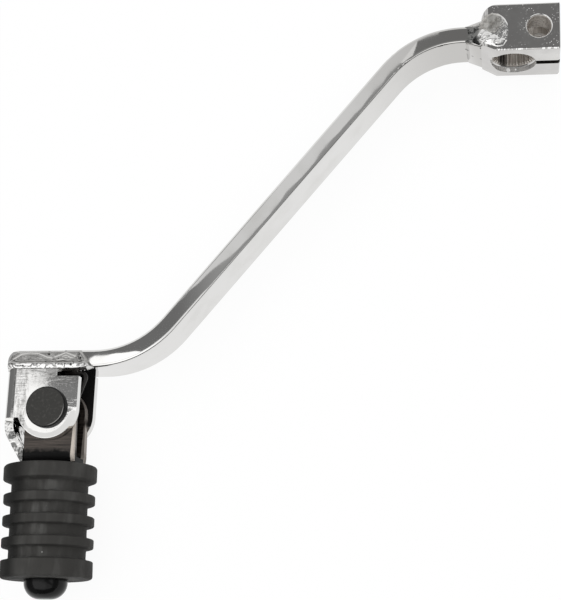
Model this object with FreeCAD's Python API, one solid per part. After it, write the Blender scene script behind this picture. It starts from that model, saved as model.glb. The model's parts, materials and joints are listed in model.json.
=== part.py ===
# Folding gear lever: a splined pinch clamp, a bent flat bar, a folded tip bracket and a sprung toe peg.
# The origin is the middle of the splined bore. +X points to the slit end of the clamp,
# -Y points outboard along the toe peg, and +Z points up, square to the bar. Sizes are in millimetres.

import FreeCAD
import Part
import math
import os

# Splined bore, cut for a 12 mm serrated shaft
bore_tip_radius = 5.55
tooth_depth = 0.5
tooth_count = 40
tooth_land_share = 0.35
tooth_gap_share = 0.25
bore_entry_radius = 6.45
bore_entry_depth = 1.4
bore_exit_chamfer = 0.6

# Clamp boss
boss_length = 14.0
boss_height = 18.0
boss_right = 13.0
boss_left = 8.9
boss_corner_radius = 5.0
boss_shoulder_radius = 2.0
boss_end_radius = 1.4
boss_edge_radius = 0.7
boss_rim_radius = 0.4
boss_turn = 2.0
neck_start = 4.5
slit_width = 2.1
pinch_offset = 7.2
pinch_clearance_radius = 3.3
pinch_thread_radius = 2.5
pinch_rim_chamfer = 0.35

# Flat bar, bent twice in plan
bar_thickness = 5.0
bar_height = 14.0
bar_edge_radius = 0.8
bar_offset = -0.7
bar_outboard_step = 92.6
first_corner = 26.8
bend_turn = 50.5
first_bend_radius = 26.5
second_bend_radius = 27.5
bar_tip_radius = 3.2

# Tip bracket, folded from sheet, with a lip that stops the peg
pivot_reach = 128.0
pivot_from_bar = 11.7
sheet = 2.5
bracket_width = 17.0
bracket_fold_radius = 3.4
cheek_end_radius = 8.6
web_reach = 13.1
web_foot = 2.8
slot_length = 6.3
slot_depth = 2.8
lip_width = 11.2
lip_drop = 1.2
lip_bend_radius = 8.0
lip_turn = 33.0
lip_end = 14.4

# Pivot pin
pin_radius = 4.0
pin_head_radius = 5.75
pin_head_height = 1.4
pin_head_edge = 0.5
rivet_head_radius = 5.2
rivet_head_height = 1.3
rivet_head_round = 1.2
pin_hole_clearance = 0.05

# Folding peg bracket
peg_sheet = 2.2
peg_side_clearance = 0.4
peg_half_width = 7.3
peg_fold_radius = 3.2
stop_gap = 0.25
peg_base = 15.3
peg_lean = 1.8

# Peg rod and its rubber
rod_radius = 4.0
rod_offset = -1.1
spigot_head_clearance = 0.1
spigot_head_lap = 0.6
spigot_head_height = 1.1
dome_radius = 6.0
dome_height = 5.4
dome_edge_radius = 4.5
flange_radius = 13.0
rubber_radius = 12.7
groove_radius = 10.7
rubber_fit = 0.1
inner_flange = 5.0
outer_flange = 5.2
rib_width = 3.2
rib_draft = 0.4
flange_draft = 0.9
groove_width = 2.8
rib_count = 3
rubber_edge_radius = 0.4
groove_root_radius = 0.7
flange_edge_radius = 0.8

# Torsion spring
wire_radius = 0.6
spring_clearance = 0.35
coil_pitch = 1.22
coil_turns = 3
fixed_leg_angle = -20.0
hook_radius = 1.5
hook_run = 4.5
leg_contact_gap = 0.1
coil_lift = 0.25

# Weld beads
boss_weld_reach = 4.1
boss_weld_depth = 3.0
boss_weld_rise = 0.8
boss_weld_round = 1.0
boss_weld_toe = 0.2
boss_weld_back = 2.5
boss_weld_cover = 0.1
bead_radius = 2.0
bead_overhang = 0.3
cap_rise = 0.8
cap_inset = 0.5
cap_length = 19.6
cap_slant = 2.6
cap_round = 0.6

# Outline points closer than this count as one
point_tolerance = 1e-6

# Places that follow from the sizes above
root_radius = bore_tip_radius + tooth_depth
bore_entry_cone = bore_entry_radius - bore_tip_radius
boss_front = -boss_length / 2
boss_back = boss_length / 2
boss_top = boss_height / 2
bar_top = bar_height / 2
bar_front = bar_offset - bar_thickness / 2
bar_back = bar_offset + bar_thickness / 2
neck_end = boss_left + boss_weld_reach
neck_share = (boss_left - neck_start) / (neck_end - neck_start)
neck_front = boss_front + (bar_front - boss_front) * neck_share
neck_bottom = -boss_top + (boss_top - bar_top) * neck_share
bar_start = boss_left - boss_top * math.sin(math.radians(boss_turn))
tip_run = bar_offset - bar_outboard_step
tip_face = tip_run - bar_thickness / 2
tip_back = tip_run + bar_thickness / 2
pivot_x = -pivot_reach
pivot_y = tip_face - pivot_from_bar
web_face = pivot_x - web_reach
cheek_face = bracket_width / 2
cheek_inside = cheek_face - sheet
peg_face = cheek_inside - peg_side_clearance
peg_inside = peg_face - peg_sheet
peg_fold_inside = peg_fold_radius - peg_sheet
spigot_head_radius = peg_inside - peg_fold_inside - spigot_head_clearance
spigot_radius = spigot_head_radius - spigot_head_lap
stop_face = pivot_x - peg_half_width - stop_gap
base_face = pivot_y - peg_base
rubber_length = inner_flange + outer_flange + rib_count * rib_width + (rib_count + 1) * groove_width
coil_radius = pin_radius + spring_clearance + wire_radius


def vec(x, y, z):
    return FreeCAD.Vector(x, y, z)


def unit(vector):
    return vector * (1.0 / vector.Length)


def in_plan(height):
    return lambda a, b: vec(a, b, height)


def in_front(depth):
    return lambda a, b: vec(a, depth, b)


def in_side(reach):
    return lambda a, b: vec(reach, a, b)


def corner_points(before, corner, after, radius):
    back = unit(before - corner)
    ahead = unit(after - corner)
    half = back.getAngle(ahead) / 2
    tangent = radius / math.tan(half)
    middle = corner + unit(back + ahead) * (radius / math.sin(half) - radius)
    return corner + back * tangent, middle, corner + ahead * tangent


def outline(corners, place, closed=True):
    # Each corner is (a, b, radius), and place puts the flat outline into space.
    points = [place(a, b) for a, b, radius in corners]
    joints = []
    for index, (a, b, radius) in enumerate(corners):
        at_end = not closed and index in (0, len(corners) - 1)
        if radius and not at_end:
            ahead = points[(index + 1) % len(points)]
            joints.append(corner_points(points[index - 1], points[index], ahead, radius))
        else:
            joints.append((points[index], None, points[index]))
    edges = []
    for index, (start, middle, end) in enumerate(joints):
        if index or closed:
            last = joints[index - 1][2]
            if last.distanceToPoint(start) > point_tolerance:
                edges.append(Part.LineSegment(last, start).toShape())
        if middle:
            edges.append(Part.Arc(start, middle, end).toShape())
    return Part.Wire(edges)


def prism(corners, place, travel):
    return Part.Face(outline(corners, place)).extrude(travel)


def plan_prism(corners, low, high):
    return prism(corners, in_plan(low), vec(0, 0, high - low))


def upright(x, y, low, high, radius):
    return Part.makeCylinder(radius, high - low, vec(x, y, low), vec(0, 0, 1))


def upright_cone(x, y, low, high, low_radius, high_radius):
    return Part.makeCone(low_radius, high_radius, high - low, vec(x, y, low), vec(0, 0, 1))


def along_y(near, far, radius, far_radius=None):
    # A cylinder or cone round the bore axis, from near to far along Y.
    start = vec(0, near, 0)
    if far_radius is None:
        return Part.makeCylinder(radius, far - near, start, vec(0, 1, 0))
    return Part.makeCone(radius, far_radius, far - near, start, vec(0, 1, 0))


def spline_cut():
    # The serrated hole: round lands at the tooth tips, straight flanks and round roots.
    pitch = 2 * math.pi / tooth_count
    flank_share = (1 - tooth_land_share - tooth_gap_share) / 2

    def on_circle(radius, share):
        return vec(radius * math.cos(share * pitch), boss_front, radius * math.sin(share * pitch))

    def arc(radius, start, end):
        middle = on_circle(radius, (start + end) / 2)
        return Part.Arc(on_circle(radius, start), middle, on_circle(radius, end)).toShape()

    def flank(start_radius, start, end_radius, end):
        return Part.LineSegment(on_circle(start_radius, start), on_circle(end_radius, end)).toShape()

    edges = []
    for tooth in range(tooth_count):
        land_end = tooth + tooth_land_share
        root_start = land_end + flank_share
        root_end = root_start + tooth_gap_share
        edges.append(arc(bore_tip_radius, tooth, land_end))
        edges.append(flank(bore_tip_radius, land_end, root_radius, root_start))
        edges.append(arc(root_radius, root_start, root_end))
        edges.append(flank(root_radius, root_end, bore_tip_radius, tooth + 1))
    return Part.Face(Part.Wire(edges)).extrude(vec(0, boss_length, 0))


def turned_boss(shape):
    # The clamp is set a little round the bore from the plane of the bar.
    shape.rotate(vec(0, 0, 0), vec(0, 1, 0), boss_turn)
    return shape


def boss_blank():
    plan = [
        (boss_right, boss_front, boss_edge_radius),
        (boss_right, boss_back, boss_edge_radius),
        (-boss_left, boss_back, boss_corner_radius),
        (-boss_left, neck_front, 0),
        (-neck_start, boss_front, 0),
    ]
    front = [
        (boss_right, -boss_top, boss_end_radius),
        (boss_right, boss_top, boss_edge_radius),
        (-boss_left, boss_top, boss_shoulder_radius),
        (-boss_left, neck_bottom, 0),
        (-neck_start, -boss_top, 0),
    ]
    side = [
        (boss_front, -boss_top, boss_rim_radius),
        (boss_back, -boss_top, boss_rim_radius),
        (boss_back, boss_top, boss_rim_radius),
        (boss_front, boss_top, boss_rim_radius),
    ]
    blank = plan_prism(plan, -boss_top, boss_top)
    blank = blank.common(prism(front, in_front(boss_front), vec(0, boss_length, 0)))
    return blank.common(prism(side, in_side(-boss_left), vec(boss_left + boss_right, 0, 0)))


def spline_boss():
    splined_from = boss_front + bore_entry_depth
    cuts = [
        spline_cut(),
        along_y(boss_front, splined_from, bore_entry_radius),
        along_y(splined_from, splined_from + bore_entry_cone, bore_entry_radius, bore_tip_radius),
        along_y(boss_back - bore_exit_chamfer, boss_back, root_radius - bore_exit_chamfer / 2,
                root_radius + bore_exit_chamfer / 2),
        Part.makeBox(boss_right, boss_length, slit_width, vec(0, boss_front, -slit_width / 2)),
        upright(pinch_offset, 0, 0, boss_top, pinch_clearance_radius),
        upright(pinch_offset, 0, -boss_top, 0, pinch_thread_radius),
        upright_cone(pinch_offset, 0, boss_top - pinch_rim_chamfer, boss_top, pinch_clearance_radius,
                     pinch_clearance_radius + pinch_rim_chamfer),
        upright_cone(pinch_offset, 0, -boss_top, pinch_rim_chamfer - boss_top,
                     pinch_thread_radius + pinch_rim_chamfer, pinch_thread_radius),
    ]
    return turned_boss(boss_blank().cut(cuts))


def bar_path():
    # Boss end, the two bends, and the tip, as (x, y, bend radius).
    second_corner = first_corner + bar_outboard_step / math.tan(math.radians(bend_turn))
    return [
        (-bar_start, bar_offset, 0),
        (-first_corner, bar_offset, first_bend_radius),
        (-second_corner, tip_run, second_bend_radius),
        (web_face, tip_run, 0),
    ]


def lever_bar():
    section = [
        (bar_front, -bar_top, bar_edge_radius),
        (bar_back, -bar_top, bar_edge_radius),
        (bar_back, bar_top, bar_edge_radius),
        (bar_front, bar_top, bar_edge_radius),
    ]
    path = outline(bar_path(), in_plan(0), closed=False)
    bar = path.makePipeShell([outline(section, in_side(-bar_start))], True, False)
    round_x = web_face + bar_tip_radius
    round_y = tip_back - bar_tip_radius
    corner = Part.makeBox(bar_tip_radius, bar_tip_radius, bar_height, vec(web_face, round_y, -bar_top))
    corner = corner.cut(upright(round_x, round_y, -bar_top, bar_top, bar_tip_radius))
    return bar.cut([corner, turned_boss(boss_blank())])


def folded_channel():
    # The bracket's section, seen along Y: a web with two folds and two cheeks.
    right = pivot_x + cheek_end_radius
    fold_inside = bracket_fold_radius - sheet
    section = [
        (right, cheek_face, 0),
        (web_face, cheek_face, bracket_fold_radius),
        (web_face, -cheek_face, bracket_fold_radius),
        (right, -cheek_face, 0),
        (right, -cheek_inside, 0),
        (web_face + sheet, -cheek_inside, fold_inside),
        (web_face + sheet, cheek_inside, fold_inside),
        (right, cheek_inside, 0),
    ]
    bottom = pivot_y - cheek_end_radius
    return prism(section, in_front(bottom), vec(0, tip_face - bottom, 0))


def cheek_blank():
    # The cheeks' outline in plan: straight at the web and round about the pivot.
    right = pivot_x + cheek_end_radius
    straight = [
        (right, pivot_y, 0),
        (right, tip_face, 0),
        (web_face, tip_face, 0),
        (web_face, pivot_y - web_foot, 0),
        (pivot_x, pivot_y - web_foot, 0),
        (pivot_x, pivot_y, 0),
    ]
    round_end = upright(pivot_x, pivot_y, -cheek_face, cheek_face, cheek_end_radius)
    return plan_prism(straight, -cheek_face, cheek_face).fuse(round_end)


def stop_lip():
    # The web runs on past the cheeks, bends in under the peg bracket and ends on a flat stop face.
    bend_top = pivot_y - web_foot - lip_drop
    turn = math.radians(lip_turn)
    centre = vec(web_face + lip_bend_radius, bend_top, -lip_width / 2)
    bend_inside = lip_bend_radius - sheet

    def on_bend(radius, angle):
        return centre + vec(-radius * math.cos(angle), -radius * math.sin(angle), 0)

    def past_bend(radius):
        return on_bend(radius, turn) + vec(math.sin(turn), -math.cos(turn), 0) * peg_base

    def side(radius):
        top = vec(centre.x - radius, pivot_y - web_foot + sheet, centre.z)
        arc = Part.Arc(on_bend(radius, 0), on_bend(radius, turn / 2), on_bend(radius, turn))
        return [
            Part.LineSegment(top, on_bend(radius, 0)).toShape(),
            arc.toShape(),
            Part.LineSegment(on_bend(radius, turn), past_bend(radius)).toShape(),
        ]

    outer = side(lip_bend_radius)
    inner = side(bend_inside)
    foot = Part.LineSegment(past_bend(lip_bend_radius), past_bend(bend_inside)).toShape()
    head = Part.LineSegment(vec(centre.x - bend_inside, pivot_y - web_foot + sheet, centre.z),
                            vec(centre.x - lip_bend_radius, pivot_y - web_foot + sheet, centre.z)).toShape()
    rim = Part.Wire(Part.__sortEdges__(outer + [foot] + inner + [head]))
    strip = Part.Face(rim).extrude(vec(0, 0, lip_width))
    kept_left = web_face - sheet
    kept = Part.makeBox(stop_face - kept_left, lip_end + pivot_from_bar, lip_width,
                        vec(kept_left, pivot_y - lip_end, -lip_width / 2))
    return strip.common(leaned(kept))


def tip_bracket():
    # The slot at the upper cheek's open corner lets the spring's hook through to the bar.
    cheeks = folded_channel().common(cheek_blank())
    hole = upright(pivot_x, pivot_y, -cheek_face, cheek_face, pin_radius + pin_hole_clearance)
    slot_left = pivot_x + cheek_end_radius - slot_length
    slot = Part.makeBox(slot_length, slot_depth, cheek_face, vec(slot_left, tip_face - slot_depth, 0))
    return cheeks.fuse(stop_lip()).cut([hole, slot]).removeSplitter()


def pivot_pin():
    # A headed pin, set from above and riveted over under the lower cheek.
    head_top = cheek_face + pin_head_height
    rivet_low = -cheek_face - rivet_head_height
    profile = [
        (0, rivet_low, 0),
        (rivet_head_radius, rivet_low, rivet_head_round),
        (rivet_head_radius, -cheek_face, 0),
        (pin_radius, -cheek_face, 0),
        (pin_radius, cheek_face, 0),
        (pin_head_radius, cheek_face, 0),
        (pin_head_radius, head_top, pin_head_edge),
        (0, head_top, 0),
    ]
    turned = Part.Face(outline(profile, in_front(0))).revolve(vec(0, 0, 0), vec(0, 0, 1), 360)
    turned.translate(vec(pivot_x, pivot_y, 0))
    return turned


def leaned(shape):
    # At rest the peg leans a little from square to the bar.
    shape.rotate(vec(pivot_x, pivot_y, 0), vec(0, 0, 1), peg_lean)
    return shape


def peg_bracket():
    # A folded channel, open upward, with round ears on the pin and the rod riveted to its base.
    base_inside = base_face + peg_sheet
    ear_end = pivot_y + peg_half_width
    section = [
        (ear_end, peg_face, 0),
        (base_face, peg_face, peg_fold_radius),
        (base_face, -peg_face, peg_fold_radius),
        (ear_end, -peg_face, 0),
        (ear_end, -peg_inside, 0),
        (base_inside, -peg_inside, peg_fold_inside),
        (base_inside, peg_inside, peg_fold_inside),
        (ear_end, peg_inside, 0),
    ]
    left = pivot_x - peg_half_width
    channel = prism(section, in_side(left), vec(2 * peg_half_width, 0, 0))
    ears = Part.makeBox(2 * peg_half_width, peg_base, 2 * peg_face, vec(left, base_face, -peg_face))
    ears = ears.fuse(upright(pivot_x, pivot_y, -peg_face, peg_face, peg_half_width))
    hole = upright(pivot_x, pivot_y, -peg_face, peg_face, pin_radius + pin_hole_clearance)
    spigot_foot = vec(pivot_x + rod_offset, base_face, 0)
    spigot = Part.makeCylinder(spigot_radius, peg_sheet, spigot_foot, vec(0, 1, 0))
    return leaned(channel.common(ears).cut([hole, spigot]))


def turned_on_peg(profile):
    # A profile of (radius, distance from the pivot, corner radius), turned about the peg's axis.
    axis = vec(0, -1, 0)
    rim = outline(profile, lambda radius, reach: vec(radius, -reach, 0))
    turned = Part.Face(rim).revolve(vec(0, 0, 0), axis, 360)
    turned.translate(vec(pivot_x + rod_offset, pivot_y, 0))
    return leaned(turned)


def peg_rod():
    rod_end = peg_base + rubber_length
    inside = peg_base - peg_sheet
    profile = [
        (0, inside - spigot_head_height, 0),
        (spigot_head_radius, inside - spigot_head_height, spigot_head_height / 2),
        (spigot_head_radius, inside, 0),
        (spigot_radius, inside, 0),
        (spigot_radius, peg_base, 0),
        (rod_radius, peg_base, 0),
        (rod_radius, rod_end, 0),
        (dome_radius, rod_end, 0),
        (dome_radius, rod_end + dome_height, dome_edge_radius),
        (0, rod_end + dome_height, 0),
    ]
    return turned_on_peg(profile)


def toe_rubber():
    # A sleeve with a wide flange at the bracket, drafted ribs and a flange at the domed end.
    bore = rod_radius + rubber_fit
    profile = [(bore, peg_base, 0), (flange_radius, peg_base, flange_edge_radius)]
    reach = peg_base + inner_flange
    crest = flange_radius
    draft = flange_draft
    for groove in range(rib_count + 1):
        groove_end = reach + groove_width
        profile += [
            (crest, reach - draft, rubber_edge_radius),
            (groove_radius, reach, groove_root_radius),
            (groove_radius, groove_end, groove_root_radius),
            (rubber_radius, groove_end + rib_draft, rubber_edge_radius),
        ]
        reach = groove_end + rib_width
        crest = rubber_radius
        draft = rib_draft
    rubber_foot = peg_base + rubber_length
    profile += [(rubber_radius, rubber_foot, flange_edge_radius), (bore, rubber_foot, 0)]
    return turned_on_peg(profile)


def torsion_spring():
    # Close coils round the pin. The top leg hooks under the bar, the bottom leg stands on the peg's base.
    turns = coil_turns + (fixed_leg_angle - peg_lean) / 360
    coil_height = turns * coil_pitch
    helix = Part.makeHelix(coil_pitch, coil_height, coil_radius)
    coil_low = coil_lift - coil_height / 2
    helix.translate(vec(pivot_x, pivot_y, coil_low))
    helix = leaned(helix)
    slope = coil_pitch / (2 * math.pi * coil_radius)

    def coil_point(angle, height):
        return vec(pivot_x + coil_radius * math.cos(angle), pivot_y + coil_radius * math.sin(angle), height)

    def coil_direction(angle):
        return unit(vec(-math.sin(angle), math.cos(angle), slope))

    low = coil_point(math.radians(peg_lean), coil_low)
    low_direction = coil_direction(math.radians(peg_lean))
    base_inside = base_face + peg_sheet
    low_length = (pivot_y - base_inside - leg_contact_gap) / coil_direction(0).y
    low_tip = low - low_direction * low_length

    hook_angle = math.radians(fixed_leg_angle)
    high = coil_point(hook_angle, coil_low + coil_height)
    ahead = coil_direction(hook_angle)
    inward = unit(vec(-ahead.y, ahead.x, 0))
    turn = math.pi / 2 - hook_angle

    def along_hook(angle):
        return inward * hook_radius * (1 - math.cos(angle)) + ahead * hook_radius * math.sin(angle)

    hook_line = tip_face - wire_radius - leg_contact_gap
    high_length = (hook_line - high.y - along_hook(turn).y) / ahead.y
    bend_start = high + ahead * high_length
    hook_end = bend_start + along_hook(turn)
    run = ahead * math.cos(turn) + inward * math.sin(turn)
    path = [Part.LineSegment(low_tip, low).toShape()]
    path += helix.Edges
    path.append(Part.LineSegment(high, bend_start).toShape())
    path.append(Part.Arc(bend_start, bend_start + along_hook(turn / 2), hook_end).toShape())
    path.append(Part.LineSegment(hook_end, hook_end + run * hook_run).toShape())
    section = Part.Wire([Part.Circle(low_tip, low_direction, wire_radius).toShape()])
    return Part.Wire(path).makePipeShell([section], True, False)


def boss_weld_crown():
    # The weld's top runs straight up from its toe on the bar, and covers the shoulder of the boss on its way.
    toe = vec(-neck_end, 0, bar_top + boss_weld_toe)
    shoulder = Part.Vertex(boss_shoulder_radius - boss_left, 0, boss_top - boss_shoulder_radius)
    away = turned_boss(shoulder).Point - toe
    slope = math.atan2(away.z, away.x) + math.asin((boss_shoulder_radius + boss_weld_cover) / away.Length)
    over_shoulder = toe.z + (boss_weld_reach + boss_weld_depth) * math.tan(slope)
    return max(boss_top + boss_weld_rise, over_shoulder)


def boss_weld():
    # A fillet all round the bar where it meets the boss, heaped up over the step on top.
    def ring(reach, front, back, low, high):
        flat = ((front, low), (back, low), (back, high), (front, high))
        return outline([(a, b, boss_weld_round) for a, b in flat], in_side(-reach))

    inner = ring(boss_left - boss_weld_depth, neck_front - boss_weld_rise, bar_back + boss_weld_back,
                 neck_bottom - boss_weld_rise, boss_weld_crown())
    outer = ring(neck_end, bar_front - boss_weld_toe, bar_back + boss_weld_toe,
                 -bar_top - boss_weld_toe, bar_top + boss_weld_toe)
    fillet = Part.makeLoft([inner, outer], True)
    return fillet.cut([turned_boss(boss_blank()), lever_bar()])


def bracket_weld(side):
    # A round bead on the seam of one cheek and a cap over the bar's edge. Side is 1 above and -1 below.
    left = web_face + cap_inset
    right = left + cap_length
    cap_plan = [
        (left, tip_face, 0),
        (right, tip_face, 0),
        (right - cap_slant, tip_back - cap_inset, 0),
        (left + bar_tip_radius, tip_back - cap_inset, 0),
        (left, tip_back - cap_inset - bar_tip_radius, 0),
    ]
    cap_top = bar_top + cap_rise
    cap = plan_prism(cap_plan, 0, cap_top)
    rim = [edge for edge in cap.Edges if edge.BoundBox.ZMin > cap_top - cap_round]
    cap = cap.makeFillet(cap_round, rim)
    seam_y = tip_face + bead_overhang
    seam_z = (bar_top + cheek_face) / 2 - bead_overhang
    start = vec(left + bead_radius, seam_y, seam_z)
    end = vec(right - bead_radius, seam_y, seam_z)
    bead = Part.makeCylinder(bead_radius, end.x - start.x, start, vec(1, 0, 0))
    bead = cap.fuse([bead, Part.makeSphere(bead_radius, start), Part.makeSphere(bead_radius, end)])
    seam_room = upright(left, tip_face, 0, cheek_inside, 2 * cap_length)
    bead = bead.cut(seam_room)
    if side < 0:
        bead = bead.mirror(vec(0, 0, 0), vec(0, 0, 1))
    return bead.cut([lever_bar(), tip_bracket()])


def upper_bracket_weld():
    return bracket_weld(1)


def lower_bracket_weld():
    return bracket_weld(-1)


pieces = [
    spline_boss,
    boss_weld,
    lever_bar,
    tip_bracket,
    upper_bracket_weld,
    lower_bracket_weld,
    pivot_pin,
    torsion_spring,
    peg_bracket,
    peg_rod,
    toe_rubber,
]

os.makedirs("parts", exist_ok=True)
for piece in pieces:
    shape = piece()
    shape.exportStep("parts/%s.step" % piece.__name__)
    print(piece.__name__, len(shape.Solids), "solid, volume %.1f," % shape.Volume, "valid", shape.isValid())
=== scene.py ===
import json
import math
import bmesh
import bpy
from mathutils import Matrix, Vector, noise

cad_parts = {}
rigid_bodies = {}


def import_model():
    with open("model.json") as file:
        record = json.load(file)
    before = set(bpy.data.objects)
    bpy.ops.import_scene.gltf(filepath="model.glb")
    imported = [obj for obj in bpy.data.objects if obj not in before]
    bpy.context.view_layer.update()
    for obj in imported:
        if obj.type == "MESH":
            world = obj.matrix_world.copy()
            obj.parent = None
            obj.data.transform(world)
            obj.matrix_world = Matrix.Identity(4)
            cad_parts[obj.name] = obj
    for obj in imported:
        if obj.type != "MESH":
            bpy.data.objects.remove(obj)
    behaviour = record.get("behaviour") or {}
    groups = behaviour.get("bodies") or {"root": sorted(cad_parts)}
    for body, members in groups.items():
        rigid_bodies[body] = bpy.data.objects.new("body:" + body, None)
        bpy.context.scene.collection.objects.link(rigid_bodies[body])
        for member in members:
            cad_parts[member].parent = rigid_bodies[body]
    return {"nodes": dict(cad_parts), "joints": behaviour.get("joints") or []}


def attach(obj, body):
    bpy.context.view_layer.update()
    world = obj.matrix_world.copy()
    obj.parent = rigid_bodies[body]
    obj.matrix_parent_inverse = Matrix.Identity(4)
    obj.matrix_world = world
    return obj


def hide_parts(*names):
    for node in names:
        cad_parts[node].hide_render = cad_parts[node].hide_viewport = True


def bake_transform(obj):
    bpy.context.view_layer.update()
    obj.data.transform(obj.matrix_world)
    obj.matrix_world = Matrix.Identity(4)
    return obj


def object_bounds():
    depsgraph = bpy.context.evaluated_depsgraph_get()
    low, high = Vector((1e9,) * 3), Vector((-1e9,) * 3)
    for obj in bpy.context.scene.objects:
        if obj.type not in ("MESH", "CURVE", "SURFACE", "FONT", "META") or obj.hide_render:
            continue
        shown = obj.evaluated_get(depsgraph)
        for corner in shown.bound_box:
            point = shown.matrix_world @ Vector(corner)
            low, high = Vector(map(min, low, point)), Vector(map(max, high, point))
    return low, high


for leftOver in list(bpy.data.objects):
    bpy.data.objects.remove(leftOver)
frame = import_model()
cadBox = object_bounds()
nodes = frame["nodes"]
mm = 0.001
pivot = Vector(frame["joints"][0]["pos_m"]) / mm  # hinge of the toe peg, in millimetres
spotCore = 0.4  # share of a round spot's radius that has its full strength
print("frame loaded:", len(nodes), "nodes")


class Wire:  # a shader socket that takes sums with numbers and other sockets
    def __init__(self, paint, socket):
        self.paint = paint
        self.socket = socket

    def sum(self, operation, first, second):
        return self.paint.add("ShaderNodeMath", {"operation": operation}, {0: first, 1: second})

    def __add__(self, other):
        return self.sum("ADD", self, other)

    def __radd__(self, other):
        return self.sum("ADD", other, self)

    def __sub__(self, other):
        return self.sum("SUBTRACT", self, other)

    def __rsub__(self, other):
        return self.sum("SUBTRACT", other, self)

    def __mul__(self, other):
        return self.sum("MULTIPLY", self, other)

    def __rmul__(self, other):
        return self.sum("MULTIPLY", other, self)

    def __or__(self, other):  # either mask
        return self.sum("MAXIMUM", self, other)

    def __ror__(self, other):
        return self.sum("MAXIMUM", other, self)


class Paint:  # one material or world and its nodes
    def __init__(self, holder):
        self.holder = holder
        holder.use_nodes = True
        self.tree = holder.node_tree
        self.tree.nodes.clear()
        inRoom = isinstance(holder, bpy.types.World)
        self.output = self.tree.nodes.new("ShaderNodeOutputWorld" if inRoom else "ShaderNodeOutputMaterial")

    def add(self, kind, settings=None, sockets=None, out=0):
        node = self.tree.nodes.new(kind)
        for key, value in (settings or {}).items():
            setattr(node, key, value)
        for key, value in (sockets or {}).items():
            if isinstance(value, Wire):
                self.tree.links.new(value.socket, node.inputs[key])
            else:
                node.inputs[key].default_value = value
        return Wire(self, node.outputs[out])

    def place(self):  # millimetres in the part's own frame
        spot = self.add("ShaderNodeTexCoord", out="Object")
        return self.add("ShaderNodeVectorMath", {"operation": "SCALE"}, {0: spot, "Scale": 1 / mm})

    def apart(self, spot):
        return [self.add("ShaderNodeSeparateXYZ", {}, {0: spot}, out=axis) for axis in ("X", "Y", "Z")]

    def stretched(self, spot, x, y, z):
        return self.add("ShaderNodeVectorMath", {"operation": "MULTIPLY"}, {0: spot, 1: (x, y, z)})

    def reach(self, spot, centre, y=1, z=1):  # distance from a point, or from a line where an axis is 0
        away = self.add("ShaderNodeVectorMath", {"operation": "SUBTRACT"}, {0: spot, 1: centre})
        away = self.stretched(away, 1, y, z)
        return self.add("ShaderNodeVectorMath", {"operation": "LENGTH"}, {0: away}, out="Value")

    def rise(self, value, low, high):  # 0 at low, 1 at high, smooth between
        return self.add("ShaderNodeMapRange", {"interpolation_type": "SMOOTHSTEP"},
                        {"Value": value, "From Min": low, "From Max": high})

    def fall(self, value, low, high):  # 1 at low, 0 at high
        return self.add("ShaderNodeMapRange", {"interpolation_type": "SMOOTHSTEP"},
                        {"Value": value, "From Min": low, "From Max": high, "To Min": 1.0, "To Max": 0.0})

    def size(self, value):
        return self.add("ShaderNodeMath", {"operation": "ABSOLUTE"}, {0: value})

    def grain(self, spot, scale, detail=3, rough=0.5, stretch=None):
        if stretch:
            spot = self.stretched(spot, *stretch)
        return self.add("ShaderNodeTexNoise", {},
                        {"Vector": spot, "Scale": scale, "Detail": detail, "Roughness": rough})

    def sway(self, spot, *grain):  # the same grain, either side of zero
        return self.grain(spot, *grain) - 0.5

    def patches(self, spot, grain, step):  # a mask from a grain
        return self.rise(self.grain(spot, *grain), *step)

    def dots(self, spot, scale, size, spread="3D"):  # small round spots, 1 inside and 0 outside
        cell = self.add("ShaderNodeTexVoronoi", {"voronoi_dimensions": spread},
                        {"Vector": spot, "Scale": scale}, out="Distance")
        return self.fall(cell, size * spotCore, size)

    def hollow(self, deep, edge):  # 1 in the mesh's own hollows
        return self.fall(self.add("ShaderNodeNewGeometry", out="Pointiness"), deep, edge)

    def blend(self, share, first, second):
        return self.add("ShaderNodeMix", {"data_type": "RGBA"}, {0: share, 6: first, 7: second}, out=2)

    def bump(self, height, strength, distance, under=None):
        sockets = {"Height": height, "Strength": strength, "Distance": distance}
        if under:
            sockets["Normal"] = under
        return self.add("ShaderNodeBump", {}, sockets)

    def finish(self, shader):
        self.tree.links.new(shader.socket, self.output.inputs["Surface"])
        return self.holder

    def surface(self, sockets):
        return self.finish(self.add("ShaderNodeBsdfPrincipled", {}, sockets))


def newPaint(name):
    return Paint(bpy.data.materials.new(name))


def rgb(red, green, blue):
    return (red, green, blue, 1)


def grey(level):
    return rgb(level, level, level)


def squared(step):  # limits for a squared distance
    return [limit ** 2 for limit in step]


# in the finishes, Grain is a noise's scale, detail, roughness and stretch, Dots a scale and a size, Step the
# two values between which a mask comes or goes, Bump a strength and a height in metres, and Share how much of
# a mask is laid on; places are millimetres in the part's frame
plate = {  # plated steel: bar, clamp, bracket and welds
    "colour": rgb(0.72, 0.715, 0.705), "smudge": rgb(0.67, 0.665, 0.65), "shine": 0.035, "dull": 0.04,
    "hazeGrain": (0.12, 4), "hazeStep": (0.4, 0.75), "waveGrain": (0.09, 1), "waveBump": (0.3, 0.00005),
    "patchGrain": (0.2, 2), "patchStep": (0.4, 0.6), "speckDots": (1.5, 0.14), "speckBump": (1.0, 0.000012)}


def platedBase(paint, spot, specked=True):  # haze, roughness and the normal that all plated pieces share
    haze = paint.patches(spot, plate["hazeGrain"], plate["hazeStep"])
    normal = paint.bump(paint.grain(spot, *plate["waveGrain"]), *plate["waveBump"])
    if specked:
        specks = paint.dots(spot, *plate["speckDots"])
        specks = specks * paint.patches(spot, plate["patchGrain"], plate["patchStep"])
        normal = paint.bump(specks, *plate["speckBump"], normal)
    return haze, haze * plate["dull"] + plate["shine"], normal


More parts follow.
